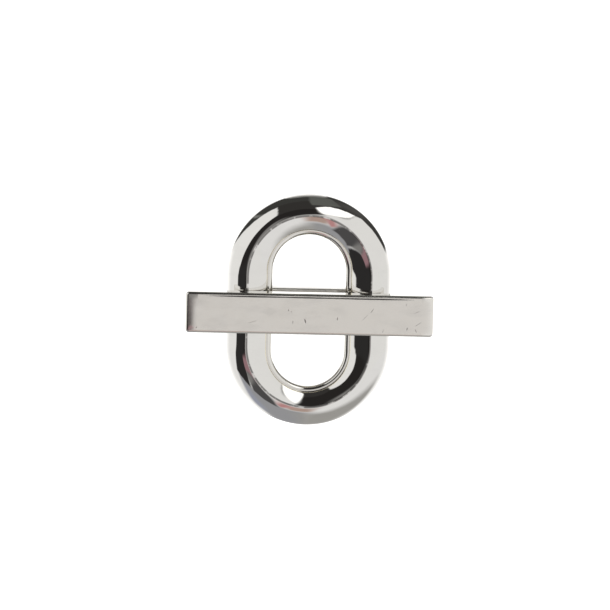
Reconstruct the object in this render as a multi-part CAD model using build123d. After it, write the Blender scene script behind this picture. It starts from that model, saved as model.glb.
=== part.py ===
from build123d import *
from math import asin, atan2, cos, hypot, radians, sin
import os

# A toggle (front bar, neck, rear bar) with an oval ring caught between its two bars.
# The part lies on its back: +Z is up out of the front bar, +X runs along the bars,
# +Y runs along the ring. The origin is the middle of the rear bar's back face.
# All sizes are in millimetres.

front_length = 59.2
front_width = 9.8
front_thick = 5.0
front_corner = 0.8         # upright corners of the front bar
front_edge = 0.6           # rounding round its front face
front_back_edge = 0.5
rear_length = 32.0
rear_width = 9.0
rear_thick = 4.5
rear_corner = 1.2
rear_edge = 0.7

ring_width = 39.5
ring_length = 56.1
ring_depth = 9.9
crest_slope = 7            # degrees, how the inner side leaves the high line
hole_width = 20.1          # hole through the cast ring, before the liner goes in
hole_length = 39.2
hole_land = 6.0            # height of the hole's upright wall, along its straight sides
hole_stock = 0.8           # metal that the hole cuts away along its sides
liner_wall = 1.25
liner_depth = 5.0
liner_round = 0.85

gap = 0.3                  # between the ring or sleeve and each bar
post_diameter = 4.0
post_flats = 2.8           # across the two flats on each end of the post
front_key = 2.8            # depth of the post's end in the front bar
rear_key = 1.5             # depth of the post's end in the rear bar
running_fit = 0.05         # sleeve on post, all round
sleeve_diameter = 6.0
sleeve_chamfer = 0.3

screw_diameter = 2.5
screw_length = 8.8
screw_head = 4.7
screw_rim = 0.2
screw_sink = 0.15          # head below the back face
screw_clear = 0.15         # hole in the rear bar, all round
tap_spare = 0.6            # tapped hole beyond the end of the screw
hex_flats = 1.5
hex_depth = 0.8

ring_bottom = rear_thick + gap
ring_middle = ring_bottom + ring_depth / 2
front_bottom = ring_bottom + ring_depth + gap
crest = ring_width / 2 - ring_depth / 2          # ring's high line, from its middle


def oval(face, straight):
    """Two straight stretches and two half turns of one section, round the ring's middle."""
    end = Pos(0, straight / 2, 0) * face
    side = extrude(end, amount=straight, dir=(0, -1, 0))
    turn = revolve(end, Axis((0, straight / 2, 0), (0, 0, 1)), 180)
    half = side + turn
    return Pos(0, 0, ring_middle) * (half + Rot(0, 0, 180) * half)


def ring_body():
    """Cast ring: half round outside, then a low ridge and a flatter slope in to the hole wall."""
    half = ring_depth / 2
    start = radians(crest_slope)
    run = crest - hole_width / 2
    drop = half - hole_land / 2
    inner_radius = hypot(run, drop) / (2 * sin(atan2(drop, run) - start))
    run += hole_stock
    wall = crest - run
    finish = asin(run / inner_radius + sin(start))
    land = half - inner_radius * (cos(start) - cos(finish))
    outline = ThreePointArc((crest, half), (ring_width / 2, 0), (crest, -half))
    outline += RadiusArc((crest, -half), (wall, -land), inner_radius)
    outline += Line((wall, -land), (wall, land))
    outline += RadiusArc((wall, land), (crest, half), inner_radius)
    cast = oval(make_face(Plane.XZ * outline), ring_length - ring_width)
    hole = extrude(SlotOverall(hole_length, hole_width, rotation=90), amount=ring_depth)
    return cast - Pos(0, 0, ring_bottom) * hole


def ring_liner():
    """Thin band pressed into the ring's hole, rounded on its two inner rims."""
    band = Rectangle(liner_wall, liner_depth)
    inner_corners = band.vertices().sort_by(Axis.X)[:2]
    band = fillet(inner_corners, liner_round)
    face = Plane.XZ * Pos(hole_width / 2 - liner_wall / 2, 0) * band
    return oval(face, hole_length - hole_width)


def bar(length, width, thick, corner, top_round, bottom_round):
    """Flat bar on z = 0 with rounded corners and softened edges."""
    plan = RectangleRounded(length, width, corner)
    body = extrude(plan, amount=thick)
    body = fillet(body.faces().sort_by(Axis.Z)[-1].edges(), top_round)
    return fillet(body.faces().sort_by(Axis.Z)[0].edges(), bottom_round)


def key(depth):
    """End of the post: the round shank with two flats that stop it turning."""
    shape = Circle(post_diameter / 2) & Rectangle(post_diameter, post_flats)
    return extrude(shape, amount=depth)


def front_bar():
    body = bar(front_length, front_width, front_thick, front_corner, front_edge, front_back_edge)
    return Pos(0, 0, front_bottom) * (body - key(front_key))


def screw_cone():
    """Countersunk head: a short rim and a right-angled cone."""
    drop = (screw_head - screw_diameter) / 2
    rim = Pos(0, 0, screw_rim / 2) * Cylinder(screw_head / 2, screw_rim)
    cone = Pos(0, 0, screw_rim + drop / 2) * Cone(screw_head / 2, screw_diameter / 2, drop)
    return Pos(0, 0, screw_sink) * (rim + cone)


def rear_bar():
    body = bar(rear_length, rear_width, rear_thick, rear_corner, rear_edge, rear_edge)
    body -= Pos(0, 0, rear_thick - rear_key) * key(rear_key)
    body -= Pos(0, 0, rear_thick / 2) * Cylinder(screw_diameter / 2 + screw_clear, rear_thick)
    body -= screw_cone()
    return body - Pos(0, 0, screw_sink / 2) * Cylinder(screw_head / 2, screw_sink)


def clamp_screw():
    shank = Pos(0, 0, screw_sink + screw_length / 2) * Cylinder(screw_diameter / 2, screw_length)
    socket = extrude(RegularPolygon(hex_flats / 2, 6, major_radius=False), amount=hex_depth)
    return screw_cone() + shank - Pos(0, 0, screw_sink) * socket


def neck_post():
    low = rear_thick - rear_key
    shank = Cylinder(post_diameter / 2, front_bottom - rear_thick)
    post = Pos(0, 0, (front_bottom + rear_thick) / 2) * shank
    post += Pos(0, 0, low) * key(rear_key)
    post += Pos(0, 0, front_bottom) * key(front_key)
    bore = screw_sink + screw_length + tap_spare - low
    return post - Pos(0, 0, low + bore / 2) * Cylinder(screw_diameter / 2, bore)


def neck_sleeve():
    tube = Cylinder(sleeve_diameter / 2, ring_depth)
    tube = chamfer(tube.edges().filter_by(GeomType.CIRCLE), sleeve_chamfer)
    tube -= Cylinder(post_diameter / 2 + running_fit, ring_depth)
    return Pos(0, 0, ring_middle) * tube


pieces = {
    "front_bar": front_bar(),
    "neck_post": neck_post(),
    "rear_bar": rear_bar(),
    "clamp_screw": clamp_screw(),
    "neck_sleeve": neck_sleeve(),
    "ring_body": ring_body(),
    "ring_liner": ring_liner(),
}

os.makedirs("parts", exist_ok=True)
for name, shape in pieces.items():
    export_step(shape, "parts/" + name + ".step")
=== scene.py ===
import bmesh
import bpy
import math
from mathutils import Matrix, Vector


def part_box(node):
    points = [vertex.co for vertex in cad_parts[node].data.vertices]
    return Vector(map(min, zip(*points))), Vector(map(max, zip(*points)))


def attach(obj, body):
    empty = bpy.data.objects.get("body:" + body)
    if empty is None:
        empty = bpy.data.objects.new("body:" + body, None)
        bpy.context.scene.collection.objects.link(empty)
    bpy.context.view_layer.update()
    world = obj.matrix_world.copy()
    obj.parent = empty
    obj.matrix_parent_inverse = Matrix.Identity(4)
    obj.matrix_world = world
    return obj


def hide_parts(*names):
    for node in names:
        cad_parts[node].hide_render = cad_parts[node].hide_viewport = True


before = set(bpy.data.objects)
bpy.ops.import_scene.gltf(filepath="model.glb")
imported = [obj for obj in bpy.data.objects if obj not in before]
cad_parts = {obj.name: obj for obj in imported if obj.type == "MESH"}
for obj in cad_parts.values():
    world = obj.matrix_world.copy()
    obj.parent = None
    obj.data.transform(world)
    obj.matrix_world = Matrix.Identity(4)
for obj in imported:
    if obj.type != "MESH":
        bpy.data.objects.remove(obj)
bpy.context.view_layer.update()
mm = 0.001
tiny = 1e-6


class Wire:
    def __init__(self, tree, socket=None):
        self.tree = tree
        self.socket = socket

    def make(self, kind, settings=None, inputs=None, out=0):
        node = self.tree.nodes.new(kind)
        for name, value in (settings or {}).items():
            setattr(node, name, value)
        for name, value in (inputs or {}).items():
            if isinstance(value, Wire):
                self.tree.links.new(value.socket, node.inputs[name])
            else:
                node.inputs[name].default_value = value
        return Wire(self.tree, node.outputs[out]) if len(node.outputs) else node

    def maths(self, operation, *others):
        values = {0: self}
        for place, other in enumerate(others, 1):
            values[place] = other
        return self.make("ShaderNodeMath", {"operation": operation}, values)

    def __add__(self, other):
        return self.maths("ADD", other)

    def __radd__(self, other):
        return self.maths("ADD", other)

    def __sub__(self, other):
        return self.maths("SUBTRACT", other)

    def __rsub__(self, other):
        return self.make("ShaderNodeMath", {"operation": "SUBTRACT"}, {0: other, 1: self})

    def __mul__(self, other):
        return self.maths("MULTIPLY", other)

    def __rmul__(self, other):
        return self.maths("MULTIPLY", other)

    def __truediv__(self, other):
        return self.maths("DIVIDE", other)

    def atLeast(self, other):
        return self.maths("MAXIMUM", other)

    def atMost(self, other):
        return self.maths("MINIMUM", other)

    def size(self):
        return self.maths("ABSOLUTE")

    def rise(self, low, high):  # 0 below low, 1 above high, smooth between
        settings = {"interpolation_type": "SMOOTHSTEP"}
        return self.make("ShaderNodeMapRange", settings, {0: self, 1: low, 2: high})

    def fall(self, low, high):
        return 1 - self.rise(low, high)

    def parts(self):
        node = self.tree.nodes.new("ShaderNodeSeparateXYZ")
        self.tree.links.new(self.socket, node.inputs[0])
        return [Wire(self.tree, out) for out in node.outputs]

    def placed(self, turn=0.0, scale=(1, 1, 1)):
        inputs = {"Vector": self, "Rotation": (0, 0, math.radians(turn)), "Scale": scale}
        return self.make("ShaderNodeMapping", None, inputs)

    def noise(self, scale=1.0, detail=2.0, roughness=0.5):
        inputs = {"Vector": self, "Scale": scale, "Detail": detail, "Roughness": roughness}
        return self.make("ShaderNodeTexNoise", None, inputs)

    def blend(self, low, high):  # two colours, mixed by this value
        settings = {"data_type": "RGBA"}
        return self.make("ShaderNodeMix", settings, {0: self, 6: low, 7: high}, 2)


# worn is the colour of rubbed edges; gloss is the polish, from 0 for a mirror
ringFinish = {"colour": (0.775, 0.76, 0.735, 1), "worn": (0.86, 0.80, 0.64, 1),
              "gloss": 0.010, "smudge": 0.02, "wave": 0.006, "waveScale": (140, 140, 140),
              "streak": 0.70, "streakDark": 0.05, "scratch": 0.03, "scratchDepth": 0.0001}
linerFinish = {**ringFinish, "worn": (0.80, 0.77, 0.70, 1), "smudge": 0.04}
barFinish = {**ringFinish, "colour": (0.765, 0.745, 0.715, 1), "worn": (0.80, 0.775, 0.73, 1),
             "gloss": 0.02, "smudge": 0.03, "wave": 0.03, "waveScale": (70, 30, 70),
             "streak": 0.72, "streakDark": 0.07}
rearFinish = {**barFinish, "gloss": 0.20, "smudge": 0.10}
# the neck's darker colour is painted shade for the dark marks it shows in the hole behind the bar; its
# rougher polish is the metal's own
neckFinishAndShade = {**ringFinish, "colour": (0.64, 0.635, 0.63, 1), "gloss": 0.16, "scratch": 0.2,
              "streakDark": 0.12}
screwFinish = {**neckFinishAndShade, "colour": (0.58, 0.58, 0.59, 1), "worn": (0.7, 0.7, 0.7, 1),
               "gloss": 0.24}

# textures that all the metals share: noise scales per metre, where each noise shows, and how much
surface = {"patchScale": 420, "smearScale": 160, "smearTurn": 25, "smearStretch": (1, 2.2, 1),
           "pitScale": 2600, "raggedScale": 5200, "raggedness": 1.4,
           # ridge shade is painted shade, a fine dark line on the ring's high line, in the same dark
           # colour as the real marks
           "ridgeShadeShows": (0.3, 0.5), "smearShows": (0.42, 0.75), "pitShows": (0.74, 0.80),
           "knockShows": (0.35, 1.1), "streakEdge": 0.03, "rubBase": 0.35,
           "sootAndShade": (0.13, 0.125, 0.12, 1), "ridgeShadeDark": 0.8, "streakShare": 0.7, "pitDark": 0.12,
           "knockDark": 0.8, "smearShare": 0.35, "smearShade": 0.93,
           "rubRough": 0.10, "knockRough": 0.3, "pitDepth": 0.0015, "knockDepth": 0.02}

# fine scratches in three directions: degrees, then noise scale across and along each one
scratchRuns = [(22, 9000, 420), (68, 11000, 460), (-47, 8000, 400)]

# knocks and scratches on the front bar's face: middle, length and width in mm, slant in degrees,
# darkness; the last three overlap into the long crease beside its upper edge
barMarks = [
    (-1.05, -1.6, 1.2, 0.34, 105, 0.8), (-5.1, 0.9, 0.5, 0.30, 70, 0.4),
    (-4.4, 0.6, 0.35, 0.25, 0, 0.3), (-4.0, -1.9, 0.9, 0.20, 85, 0.4),
    (6.6, -0.9, 0.8, 0.34, 85, 0.35), (-13.6, -2.0, 2.2, 0.16, 18, 0.2),
    (14.9, 1.2, 1.3, 0.18, 55, 0.5), (13.2, -0.5, 2.0, 0.12, 47, 0.28),
    (17.6, -3.6, 1.0, 0.16, 70, 0.25), (23.3, -3.0, 0.8, 0.34, 80, 0.4),
    (25.5, 1.0, 1.8, 0.16, 25, 0.2), (26.0, -1.8, 1.8, 0.18, 35, 0.3),
    (25.4, -3.4, 1.0, 0.30, 110, 0.3), (23.0, 2.8, 0.9, 0.16, 90, 0.25),
    (-27.0, -3.6, 0.5, 0.3, 60, 0.3),
    (-13.5, 4.02, 22.0, 0.40, 0, 1.5), (0.0, 4.0, 20.0, 0.36, 0, 1.5),
    (13.5, 3.98, 23.0, 0.40, 0, 1.5),
]


def streaks(place, turn, across, along, amount):
    # long thin flecks, one direction at a time
    grain = place.placed(turn, (along, across, along)).noise(1.0, 1.0)
    return grain.rise(amount, amount + surface["streakEdge"])


def knockMask(place, marks, nothing):
    # ragged ovals, one for each mark
    knocks = nothing
    x, y, _ = place.parts()
    for middleX, middleY, length, width, slant, dark in marks:
        c, s = math.cos(math.radians(slant)), math.sin(math.radians(slant))
        right, up = x - middleX * mm, y - middleY * mm
        along = (right * c + up * s).size() / (length * mm / 2)
        aside = (up * c - right * s).size() / (width * mm / 2)
        reach = along.maths("POWER", 2.0) + aside.maths("POWER", 2.0)
        rough = (place.noise(surface["raggedScale"], 2.0) - 0.5) * surface["raggedness"]
        knocks = knocks.atLeast((reach + rough).fall(*surface["knockShows"]) * dark)
    return knocks


def plated(name, finish, marks=()):
    material = bpy.data.materials.new(name)
    material.use_nodes = True
    tree = material.node_tree
    tree.nodes.clear()
    start = Wire(tree)
    place = start.make("ShaderNodeTexCoord", None, None, "Object")
    # the edge attribute is 1 on rubbed edges, and -1 along the ring's ridge, where a fine dark line is
    # painted shade
    worn = start.make("ShaderNodeAttribute", {"attribute_name": "edgeWearAndShade"}, None, "Fac")
    patch = place.noise(surface["patchScale"], 3.0, 0.6)
    rub = (worn * (surface["rubBase"] + patch)).atMost(1.0).atLeast(0.0)
    # painted shade along the ring's ridge, broken up by the patch noise
    ridgeShade = (worn * -1.0).atLeast(0.0) * patch.rise(*surface["ridgeShadeShows"])
    smear = place.placed(surface["smearTurn"], surface["smearStretch"])
    smear = smear.noise(surface["smearScale"], 4.0, 0.55).rise(*surface["smearShows"])
    runs = [streaks(place, turn, across, along, finish["streak"])
            for turn, across, along in scratchRuns]
    lines = runs[0].atLeast(runs[1]).atLeast(runs[2])
    wave = place.placed(0, finish["waveScale"]).noise(1.0, 1.0)
    pits = place.noise(surface["pitScale"], 2.0).rise(*surface["pitShows"])
    knocks = knockMask(place, marks, 0.0 * worn)

    shade = tuple(surface["smearShade"] * c for c in finish["colour"][:3]) + (1,)
    colour = rub.blend(finish["colour"], finish["worn"])
    colour = (smear * surface["smearShare"]).blend(colour, shade)
    # darkening: the painted ridge shade, then the real scratches, pits and knocks
    dark = ridgeShade * surface["ridgeShadeDark"] + lines * finish["streakDark"] * surface["streakShare"]
    dark = dark + pits * surface["pitDark"] + knocks * surface["knockDark"]
    colour = dark.blend(colour, surface["sootAndShade"])
    rough = finish["gloss"] + smear * finish["smudge"] + lines * finish["scratch"]
    rough = rough + rub * surface["rubRough"] + knocks * surface["knockRough"]
    height = wave * finish["wave"] - lines * finish["scratchDepth"]
    height = height - pits * surface["pitDepth"] - knocks * surface["knockDepth"]
    bump = start.make("ShaderNodeBump", None, {"Strength": 1.0, "Distance": mm, "Height": height})
    shader = start.make("ShaderNodeBsdfPrincipled", None, {
        "Base Color": colour, "Metallic": 1.0, "Roughness": rough, "Normal": bump})
    start.make("ShaderNodeOutputMaterial", None, {"Surface": shader})
    return material


ringNickel = plated("ringNickel", ringFinish)
linerNickel = plated("linerNickel", linerFinish)
frontNickel = plated("frontNickel", barFinish, barMarks)
rearNickel = plated("rearNickel", rearFinish)
neckSteelShaded = plated("neckSteelShaded", neckFinishAndShade)
screwSteel = plated("screwSteel", screwFinish)
print("metals ready")


def finished(name, bm, body, node, material, sharp=32):
    bmesh.ops.remove_doubles(bm, verts=bm.verts, dist=tiny)
    bmesh.ops.recalc_face_normals(bm, faces=bm.faces)
    mesh = bpy.data.meshes.new(name)
    bm.to_mesh(mesh)
    bm.free()
    for face in mesh.polygons:
        face.use_smooth = True
    mesh.set_sharp_from_angle(angle=math.radians(sharp))
    piece = bpy.data.objects.new(name, mesh)
    bpy.context.scene.collection.objects.link(piece)
    mesh.materials.append(material)
    even = piece.modifiers.new("evenShading", "WEIGHTED_NORMAL")
    even.keep_sharp = True
    even.weight = 100
    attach(piece, body)
    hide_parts(node)
    print(name, len(mesh.polygons), "faces")


def swing(bm, start, centre, axis, angle, steps):
    # draws an arc by turning one point; returns its far end
    point = bm.verts.new(start)
    turned = bmesh.ops.spin(bm, geom=[point], cent=centre, axis=axis, angle=angle, steps=steps)
    return [v for v in turned["geom_last"] if isinstance(v, bmesh.types.BMVert)][0]


def ovalSweep(bm, straight, middle, turnSteps, sideSteps):
    # the section standing at the end of a straight side makes a quarter, then both mirrors
    section = bm.verts[:] + bm.edges[:]
    stretch = bm.edges[:]
    for step in range(sideSteps):
        out = bmesh.ops.extrude_edge_only(bm, edges=stretch)["geom"]
        moved = [g for g in out if isinstance(g, bmesh.types.BMVert)]
        bmesh.ops.translate(bm, verts=moved, vec=(0, -straight / 2 / sideSteps, 0))
        stretch = [g for g in out if isinstance(g, bmesh.types.BMEdge)]
    bmesh.ops.spin(bm, geom=section, cent=(0, straight / 2, middle), axis=(0, 0, 1),
                   angle=math.pi / 2, steps=turnSteps)
    bmesh.ops.remove_doubles(bm, verts=bm.verts, dist=tiny)


def mirrored(bm):
    for axis in "XY":
        bmesh.ops.mirror(bm, geom=bm.verts[:] + bm.edges[:] + bm.faces[:], matrix=Matrix(),
                         merge_dist=tiny, axis=axis)
    bmesh.ops.remove_doubles(bm, verts=bm.verts, dist=tiny)


def marked(bm):
    # this layer holds rubbed wear, and on the ring the painted ridge shade as -1
    return bm.verts.layers.float.new("edgeWearAndShade")


def rounded(bm, edges, offset, segments, wearAndShade=None):
    # the wear-and-shade layer, where given, is set to 1 on the new faces, which count as rubbed
    cut = bmesh.ops.bevel(bm, geom=edges, offset=offset, segments=segments, profile=0.5,
                          affect="EDGES", material=-1)
    if wearAndShade is not None:
        for v in cut["verts"]:
            v[wearAndShade] = 1.0


def sharpEdges(bm, angle):
    limit = math.radians(angle)
    return [e for e in bm.edges if len(e.link_faces) == 2 and e.calc_face_angle() > limit]


# land is the height of the hole's wall; crestSlope, in degrees, is how the inner side leaves the high line
ringShape = {"land": 6.0 * mm, "crestSlope": 7.0, "outerSteps": 34, "innerSteps": 14,
             "wallSteps": 5, "turnSteps": 56, "sideSteps": 8,
             "lip": 0.13 * mm, "lipSegments": 3, "lipAngle": 35,
             # the last reach is how far the painted shade line spreads from the high line, as a share of
             # the ridge's rounding
             "ridge": 0.28 * mm, "ridgeSegments": 5, "ridgeShadeReach": 0.7, "sharp": 40}

ringLow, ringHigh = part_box("ring_body")
linerLow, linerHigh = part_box("ring_liner")
ringMiddle = (ringLow.z + ringHigh.z) / 2
halfDepth = (ringHigh.z - ringLow.z) / 2
crest = ringHigh.x - halfDepth  # from the ring's middle out to its high line
ringStraight = 2 * (ringHigh.y - ringHigh.x)
holeHalf = linerHigh.x
holeStraight = 2 * (linerHigh.y - linerHigh.x)


def holeReach(turn):
    # from the end centre of the outside to the hole's wall, in one direction
    ahead = (holeStraight - ringStraight) / 2
    nearlyAhead = 1.5  # radians, where the tangent is still finite
    if holeHalf * math.tan(min(turn, nearlyAhead)) <= ahead:
        return holeHalf / math.cos(turn)
    aside = ahead * math.cos(turn)
    return ahead * math.sin(turn) + math.sqrt(holeHalf ** 2 - aside ** 2)


def makeRing(shape):
    bm = bmesh.new()
    wearAndShade = marked(bm)
    end = ringStraight / 2
    run = crest - holeHalf
    land = shape["land"] / 2
    drop = halfDepth - land
    leaving = math.radians(shape["crestSlope"])
    chordSlope = math.atan2(drop, run)
    slopeRadius = math.hypot(run, drop) / (2 * math.sin(chordSlope - leaving))
    top = Vector((crest, end, ringMiddle + halfDepth))
    low = Vector((crest, end, ringMiddle - halfDepth))
    aside, below = slopeRadius * math.sin(leaving), slopeRadius * math.cos(leaving)
    turned = 2 * (chordSlope - leaving)
    swing(bm, top, (crest, end, ringMiddle), (0, 1, 0), math.pi, shape["outerSteps"])
    upper = swing(bm, top, top + Vector((aside, 0, -below)), (0, 1, 0), -turned, shape["innerSteps"])
    lower = swing(bm, low, low + Vector((aside, 0, below)), (0, 1, 0), turned, shape["innerSteps"])
    wall = bm.edges.new((upper, lower))
    bmesh.ops.subdivide_edges(bm, edges=[wall], cuts=shape["wallSteps"])
    bmesh.ops.remove_doubles(bm, verts=bm.verts, dist=tiny)
    ovalSweep(bm, ringStraight, ringMiddle, shape["turnSteps"], shape["sideSteps"])
    for v in bm.verts:  # the hole is longer than the outside, so its wall slides out round each end
        across, ahead = v.co.x, v.co.y - end
        away = math.hypot(across, ahead)
        if ahead < tiny or away > crest - tiny:
            continue
        turn = math.atan2(ahead, across)
        newRun = crest - holeReach(turn)
        share = (crest - away) / run
        onWall = share > 1 - 1e-4
        fall = math.sqrt(slopeRadius ** 2 - aside ** 2)
        fall -= math.sqrt(slopeRadius ** 2 - (share * newRun + aside) ** 2)
        side = (v.co.z - ringMiddle) / (land if onWall else abs(v.co.z - ringMiddle))
        newAway = crest - share * newRun
        v.co = Vector((newAway * math.cos(turn), end + newAway * math.sin(turn),
                       ringMiddle + side * (halfDepth - fall)))
    mirrored(bm)
    bmesh.ops.recalc_face_normals(bm, faces=bm.faces)
    rounded(bm, sharpEdges(bm, shape["lipAngle"]), shape["lip"], shape["lipSegments"], wearAndShade)
    ridges = [e for e in bm.edges
              if all(abs(abs(v.co.z - ringMiddle) - halfDepth) < tiny for v in e.verts)]
    rounded(bm, ridges, shape["ridge"], shape["ridgeSegments"])
    for v in bm.verts:  # the ridge's fine dark line, painted shade along the crest
        away = math.hypot(v.co.x, max(abs(v.co.y) - end, 0))
        near = abs(away - crest) < shape["ridge"] * shape["ridgeShadeReach"]
        if near and abs(v.co.z - ringMiddle) > land:
            v[wearAndShade] = -1.0
    finished("ringBody", bm, "ring", "ring_body", ringNickel, shape["sharp"])


linerShape = {"corner": 0.85 * mm, "cornerSteps": 10, "wall": 1.25 * mm, "rubbed": 0.4,
              "turnSteps": 56, "sideSteps": 8}


def makeLiner(shape):
    bm = bmesh.new()
    wearAndShade = marked(bm)
    end = holeStraight / 2
    outer, inner = linerHigh.x, linerHigh.x - shape["wall"]
    corners = [(outer, linerHigh.z), (inner, linerHigh.z), (inner, linerLow.z), (outer, linerLow.z)]
    points = [bm.verts.new((x, end, z)) for x, z in corners]
    for here, there in zip(points, points[1:] + points[:1]):
        bm.edges.new((here, there))
    bmesh.ops.bevel(bm, geom=points[1:3], offset=shape["corner"], segments=shape["cornerSteps"],
                    profile=0.5, affect="VERTICES", material=-1)
    for v in bm.verts:
        v[wearAndShade] = shape["rubbed"]
    ovalSweep(bm, holeStraight, ringMiddle, shape["turnSteps"], shape["sideSteps"])
    mirrored(bm)
    finished("ringLiner", bm, "ring", "ring_liner", linerNickel)


makeRing(ringShape)
makeLiner(linerShape)


# flat is the share of the half length before the face starts to roll off
barLines = (-0.6, -0.3, 0, 0.3, 0.6)  # lengthwise cuts, as shares of the half width
frontShape = {"corner": 0.8 * mm, "topEdge": 0.6 * mm, "backEdge": 0.5 * mm, "segments": 8,
              "cuts": 14, "flat": 0.90, "rollOff": 0.11 * mm}
rearShape = {"corner": 1.2 * mm, "topEdge": 0.7 * mm, "backEdge": 0.7 * mm, "segments": 8,
             "cuts": 6, "flat": 0.85, "rollOff": 0.04 * mm,
             "bore": 1.4 * mm, "headRoom": 0.02 * mm, "boreSides": 64}


def makeBar(shape, low, high):
    bm = bmesh.new()
    wearAndShade = marked(bm)
    middle, size = (low + high) / 2, high - low
    bmesh.ops.create_cube(bm, size=1.0)
    bmesh.ops.scale(bm, verts=bm.verts, vec=size)
    bmesh.ops.translate(bm, verts=bm.verts, vec=middle)
    upright = [e for e in bm.edges if abs(e.verts[0].co.z - e.verts[1].co.z) > tiny]
    rounded(bm, upright, shape["corner"], shape["segments"])
    for level, offset in ((high.z, shape["topEdge"]), (low.z, shape["backEdge"])):
        rim = [e for e in bm.edges if all(abs(v.co.z - level) < tiny for v in e.verts)]
        rounded(bm, rim, offset, shape["segments"], wearAndShade)
    reach = high.x * shape["flat"]
    cuts = [reach + (high.x - reach) * step / shape["cuts"] for step in range(shape["cuts"])]
    for x in [-c for c in cuts] + [0] + cuts:
        bmesh.ops.bisect_plane(bm, geom=bm.verts[:] + bm.edges[:] + bm.faces[:], dist=tiny,
                               plane_co=(x, 0, 0), plane_no=(1, 0, 0))
    for share in barLines:
        bmesh.ops.bisect_plane(bm, geom=bm.verts[:] + bm.edges[:] + bm.faces[:], dist=tiny,
                               plane_co=(0, share * high.y, 0), plane_no=(0, 1, 0))
    for v in bm.verts:  # polishing takes the face down a little towards its ends
        if v.co.z > middle.z:
            past = max(abs(v.co.x) - reach, 0) / (high.x - reach)
            v.co.z -= shape["rollOff"] * past ** 2
    return bm


frontLow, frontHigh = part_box("front_bar")
rearLow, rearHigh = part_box("rear_bar")
front = makeBar(frontShape, frontLow, frontHigh)
finished("frontBar", front, "toggle", "front_bar", frontNickel)


screwLow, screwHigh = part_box("clamp_screw")
sleeveLow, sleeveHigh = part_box("neck_sleeve")
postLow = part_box("neck_post")[0]
screwShape = {"shank": 1.25 * mm, "rim": 0.2 * mm, "socket": 0.87 * mm, "socketDepth": 0.8 * mm,
              "edge": 0.08 * mm, "edgeAngle": 50, "sides": 48}
sleeveShape = {"bore": 2.05 * mm, "chamfer": 0.3 * mm, "edge": 0.06 * mm, "edgeAngle": 30,
               "sides": 72}


def lathe(bm, outline, sides):
    # spins a chain of (radius, height) points once round the neck's axis
    points = [bm.verts.new((radius, 0, height)) for radius, height in outline]
    for here, there in zip(points, points[1:]):
        bm.edges.new((here, there))
    bmesh.ops.spin(bm, geom=bm.verts[:] + bm.edges[:], cent=(0, 0, 0), axis=(0, 0, 1),
                   angle=2 * math.pi, steps=sides, use_merge=True)


def makeSleeve(shape):
    bm = bmesh.new()
    wearAndShade = marked(bm)
    radius, bore, cut = sleeveHigh.x, shape["bore"], shape["chamfer"]
    low, high = sleeveLow.z, sleeveHigh.z
    outline = [(bore, low), (radius - cut, low), (radius, low + cut), (radius, high - cut),
               (radius - cut, high), (bore, high), (bore, low)]
    lathe(bm, outline, shape["sides"])
    bmesh.ops.remove_doubles(bm, verts=bm.verts, dist=tiny)
    bmesh.ops.recalc_face_normals(bm, faces=bm.faces)
    rounded(bm, sharpEdges(bm, shape["edgeAngle"]), shape["edge"], 2, wearAndShade)
    finished("neckSleeve", bm, "sleeve", "neck_sleeve", neckSteelShaded)


def makeScrew(shape):
    bm = bmesh.new()
    wearAndShade = marked(bm)
    head, shank, start = screwHigh.x, shape["shank"], screwLow.z
    cone = start + shape["rim"]
    outline = [(head, start), (head, cone), (shank, cone + head - shank),
               (shank, screwHigh.z), (0, screwHigh.z)]
    lathe(bm, outline, shape["sides"])
    bmesh.ops.remove_doubles(bm, verts=bm.verts, dist=tiny)
    outer = [e for e in bm.edges if e.is_boundary]
    hexagon = bmesh.ops.create_circle(bm, segments=6, radius=shape["socket"],
                                      matrix=Matrix.Translation((0, 0, start)))
    sides = list({e for v in hexagon["verts"] for e in v.link_edges})
    bmesh.ops.subdivide_edges(bm, edges=sides, cuts=shape["sides"] // 6 - 1)
    inner = [e for e in bm.edges if not e.link_faces]
    bmesh.ops.bridge_loops(bm, edges=outer + inner)
    inner = [e for e in bm.edges if e.is_boundary]
    wall = bmesh.ops.extrude_edge_only(bm, edges=inner)["geom"]
    floor = [g for g in wall if isinstance(g, bmesh.types.BMVert)]
    bmesh.ops.translate(bm, verts=floor, vec=(0, 0, shape["socketDepth"]))
    bmesh.ops.holes_fill(bm, edges=[e for e in bm.edges if e.is_boundary])
    bmesh.ops.recalc_face_normals(bm, faces=bm.faces)
    rounded(bm, sharpEdges(bm, shape["edgeAngle"]), shape["edge"], 2, wearAndShade)
    finished("clampScrew", bm, "toggle", "clamp_screw", screwSteel)


def makeRearBar(shape):
    bm = makeBar(shape, rearLow, rearHigh)
    body = bpy.data.meshes.new("rearBlank")
    bm.to_mesh(body)
    bm.free()
    blank = bpy.data.objects.new("rearBlank", body)
    cutter = bmesh.new()
    marked(cutter)
    head, bore = screwHigh.x + shape["headRoom"], shape["bore"]
    sink = screwLow.z + screwShape["rim"]
    outline = [(0, -mm), (head, -mm), (head, sink), (bore, sink + head - bore),
               (bore, postLow.z), (0, postLow.z)]
    lathe(cutter, outline, shape["boreSides"])
    bmesh.ops.remove_doubles(cutter, verts=cutter.verts, dist=tiny)
    bmesh.ops.recalc_face_normals(cutter, faces=cutter.faces)
    tool = bpy.data.objects.new("rearCutter", bpy.data.meshes.new("rearCutter"))
    cutter.to_mesh(tool.data)
    cutter.free()
    for made in (blank, tool):
        bpy.context.scene.collection.objects.link(made)
    cut = blank.modifiers.new("countersink", "BOOLEAN")
    cut.operation, cut.solver, cut.object = "DIFFERENCE", "EXACT", tool
    shown = blank.evaluated_get(bpy.context.evaluated_depsgraph_get())
    bm = bmesh.new()
    bm.from_mesh(bpy.data.meshes.new_from_object(shown))
    for made in (blank, tool):
        bpy.data.objects.remove(made)
    finished("rearBar", bm, "toggle", "rear_bar", rearNickel)


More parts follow.
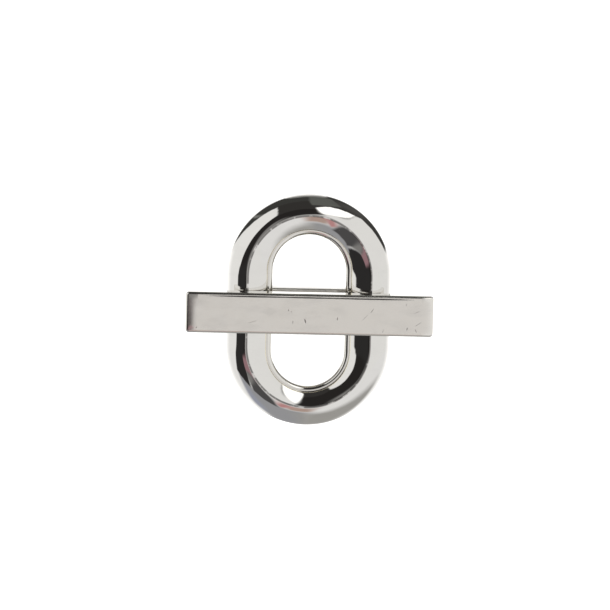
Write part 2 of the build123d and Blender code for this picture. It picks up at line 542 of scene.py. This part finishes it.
makeSleeve(sleeveShape)
makeScrew(screwShape)
makeRearBar(rearShape)
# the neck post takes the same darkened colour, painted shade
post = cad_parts["neck_post"]
post.data.materials.clear()
post.data.materials.append(neckSteelShaded)


# What the metal mirrors, painted in order on a map of directions: degrees away from straight up,
# first towards +X, then towards +Y. A panel is a convex outline or an oval, with a soft edge.
studioLook = {"left": (0.95, 0.95, 0.95, 1), "right": (0.90, 0.90, 0.90, 1), "sides": (-30, 30),
              "paper": (1.35, 1.35, 1.35, 1), "paperBelow": (100, 150), "paperAhead": (12, 34),
              "paperAside": (30, 85), "paperUnder": (142, 158),
              "wander": 8, "wanderScale": 9.0, "wanderFrom": (20, 70)}
panels = [
    # the dark room, and what shows dimly in it
    {"corners": [(-170, 22), (170, 22), (170, 170), (-170, 170)], "soft": 6,
     "light": (0.050, 0.050, 0.047)},
    {"corners": [(0, 48), (16, 60), (42, 66), (40, 118), (1, 118)], "soft": 3,
     "light": (0.125, 0.13, 0.12)},
    {"oval": (74, 92), "half": (30, 16), "soft": 14, "light": (0.085, 0.083, 0.080)},
    {"oval": (-94, 88), "half": (34, 3), "turn": -28, "soft": 3.5, "light": (0.24, 0.24, 0.23)},
    {"corners": [(-30, 119), (28, 119), (44, 140), (-46, 140)], "soft": 4,
     "light": (0.27, 0.27, 0.26)},
    {"corners": [(-45, 133), (38, 133), (60, 175), (-60, 175)], "soft": 3,
     "light": (0.85, 0.85, 0.84)},
    # left box, then right box with its bright near edge
    {"corners": [(-21, 38), (-40, 79), (-62, 72), (-112, 53), (-150, 28), (-150, -20), (-40, -20)],
     "soft": 2.5, "light": (0.96, 0.96, 0.95)},
    {"corners": [(20, -20), (8, 13), (54, 64), (70, 69), (86, 58), (102, 44), (122, 22), (148, -8),
                 (148, -20)], "soft": 2.5, "light": (0.90, 0.90, 0.89)},
    {"corners": [(5.5, 13), (5.5, 44), (19, 60), (56, 66)], "soft": 1.2,
     "light": (1.5, 1.5, 1.48)},
    # the dark wedge between the boxes
    {"corners": [(-42, 84), (-24, 42), (-8, 5), (4.5, 8), (5, 42), (0, 84)], "soft": 1.5,
     "light": (0.040, 0.038, 0.036)},
    # grey below
    {"corners": [(-70, -36), (4, -36), (8, -145), (-42, -145)], "soft": 7,
     "light": (0.36, 0.365, 0.385)},
    {"corners": [(-4, -44), (90, -52), (62, -130), (-4, -145)], "soft": 13,
     "light": (0.40, 0.395, 0.38)},
    {"oval": (-55, -76), "half": (12, 26), "soft": 9, "light": (0.37, 0.39, 0.47)},
    # dark shapes near straight up
    {"corners": [(-21, 35), (4.5, 35), (5.5, 9), (-4, -9), (-22, -16), (-50, -2), (-33, 20)],
     "soft": 1.5, "light": (0.024, 0.022, 0.021)},
    {"corners": [(-50, 0), (-61, -13), (-72, -38), (-36, -41), (-20, -15), (-10, -2)], "soft": 2,
     "light": (0.030, 0.029, 0.029)},
    {"corners": [(-2, -10), (-22, -16), (-36, -41), (-14, -43)], "soft": 2,
     "light": (0.085, 0.083, 0.085)},
    {"corners": [(-6, -12), (-24, -19), (-32, -33), (-24, -27)], "soft": 2,
     "light": (0.24, 0.235, 0.23)},
    # warm patches
    {"corners": [(1, -12), (-5, -26), (-6, -35), (4.5, -35), (4, -16)], "soft": 2.5,
     "light": (0.50, 0.37, 0.32)},
    {"corners": [(0, -12), (-10, -31), (-10, -38), (-5, -31), (1, -15)], "soft": 1.5,
     "light": (0.56, 0.29, 0.29)},
    {"corners": [(-2, -8), (-24, -12), (-25, -19), (-2, -10.5)], "soft": 1.2,
     "light": (0.34, 0.20, 0.22)},
    # what a face that looks straight up mirrors
    {"oval": (-8, 6), "half": (3.5, 5), "soft": 2.5, "light": (0.24, 0.235, 0.23)},
    {"oval": (-3, -1), "half": (7, 5), "soft": 3, "light": (0.27, 0.265, 0.26)},
    {"oval": (4, -7.5), "half": (6, 5), "soft": 2.5, "light": (0.77, 0.755, 0.745)},
]


def beyond(u, v, here, there, soft):
    # 1 on the left of the line from here to there, 0 on its right
    across, along = there[0] - here[0], there[1] - here[1]
    length = math.hypot(across, along)
    reach = (v - here[1]) * (across / length) - (u - here[0]) * (along / length)
    return reach.rise(-soft, soft)


def panelMask(u, v, panel):
    if "corners" in panel:
        corners = panel["corners"]
        area = sum(p[0] * q[1] - q[0] * p[1] for p, q in zip(corners, corners[1:] + corners[:1]))
        ordered = corners if area > 0 else corners[::-1]
        sides = [beyond(u, v, p, q, panel["soft"])
                 for p, q in zip(ordered, ordered[1:] + ordered[:1])]
        mask = sides[0]
        for side in sides[1:]:
            mask = mask * side
        return mask
    turn = math.radians(panel.get("turn", 0))
    right, up = u - panel["oval"][0], v - panel["oval"][1]
    across = (right * math.cos(turn) + up * math.sin(turn)) / panel["half"][0]
    along = (up * math.cos(turn) - right * math.sin(turn)) / panel["half"][1]
    fade = panel["soft"] / min(panel["half"])
    return (across * across + along * along).maths("SQRT").fall(1 - fade, 1 + fade)


def makeWorld(look):
    world = bpy.data.worlds.new("studio")
    bpy.context.scene.world = world
    world.use_nodes = True
    tree = world.node_tree
    tree.nodes.clear()
    start = Wire(tree)
    way = start.make("ShaderNodeTexCoord", None, None, "Generated")
    x, y, z = way.parts()
    fromTop = z.maths("ARCCOSINE") * math.degrees(1)
    flat = (x * x + y * y).maths("SQRT").atLeast(1e-4)
    u, v = fromTop * x / flat, fromTop * y / flat
    # panel edges run true near straight up, and waver further down
    wander = (way.noise(look["wanderScale"], 3.0) - 0.5) * fromTop.rise(*look["wanderFrom"])
    v = v + wander * look["wander"]
    sky = u.rise(*look["sides"]).blend(look["left"], look["right"])
    for panel in panels:
        sky = panelMask(u, v, panel).blend(sky, panel["light"] + (1,))
    # the paper comes up round the object's lower sides
    far = fromTop.rise(*look["paperBelow"]) * v.fall(*look["paperAhead"])
    far = far * u.size().rise(*look["paperAside"])
    far = far.atLeast(fromTop.rise(*look["paperUnder"]))
    sky = far.blend(sky, look["paper"])
    background = start.make("ShaderNodeBackground", None, {"Color": sky, "Strength": 1.0})
    start.make("ShaderNodeOutputWorld", None, {"Surface": background})


floorLook = {"half": 3.0, "glow": 0.93, "colour": (0.9, 0.9, 0.9, 1), "rough": 0.9}


def makeFloor(look):
    bm = bmesh.new()
    bmesh.ops.create_grid(bm, x_segments=2, y_segments=2, size=look["half"])
    mesh = bpy.data.meshes.new("floor")
    bm.to_mesh(mesh)
    bm.free()
    floor = bpy.data.objects.new("floor", mesh)
    bpy.context.scene.collection.objects.link(floor)
    material = bpy.data.materials.new("palePaper")
    material.use_nodes = True
    material.node_tree.nodes.clear()
    start = Wire(material.node_tree)
    shader = start.make("ShaderNodeBsdfPrincipled", None, {
        "Base Color": look["colour"], "Roughness": look["rough"],
        "Emission Color": (1, 1, 1, 1), "Emission Strength": look["glow"]})
    start.make("ShaderNodeOutputMaterial", None, {"Surface": shader})
    mesh.materials.append(material)
    floor.visible_glossy = False


cameraSet = {"distance": 0.98, "lens": 240, "fromAbove": 6.6, "fromLeft": 2.0, "roll": 1.4,
             "right": -0.78 * mm, "up": 1.10 * mm, "clip": (0.01, 20)}


def makeCamera(setup):
    e, a = math.radians(setup["fromAbove"]), math.radians(setup["fromLeft"])
    back = Vector((-math.sin(a) * math.cos(e), math.sin(e), math.cos(a) * math.cos(e)))
    right = Vector((0, 1, 0)).cross(back).normalized()
    up = back.cross(right)
    r = math.radians(setup["roll"])
    right, up = right * math.cos(r) + up * math.sin(r), up * math.cos(r) - right * math.sin(r)
    target = Vector((0, 0, ringMiddle)) + right * setup["right"] + up * setup["up"]
    data = bpy.data.cameras.new("camera")
    data.lens = setup["lens"]
    data.clip_start, data.clip_end = setup["clip"]
    camera = bpy.data.objects.new("camera", data)
    bpy.context.scene.collection.objects.link(camera)
    camera.matrix_world = Matrix((right, up, back)).transposed().to_4x4()
    camera.location = target + back * setup["distance"]
    bpy.context.scene.camera = camera


makeWorld(studioLook)
makeFloor(floorLook)
makeCamera(cameraSet)
bpy.context.scene.view_settings.view_transform = "Standard"
print("studio ready")
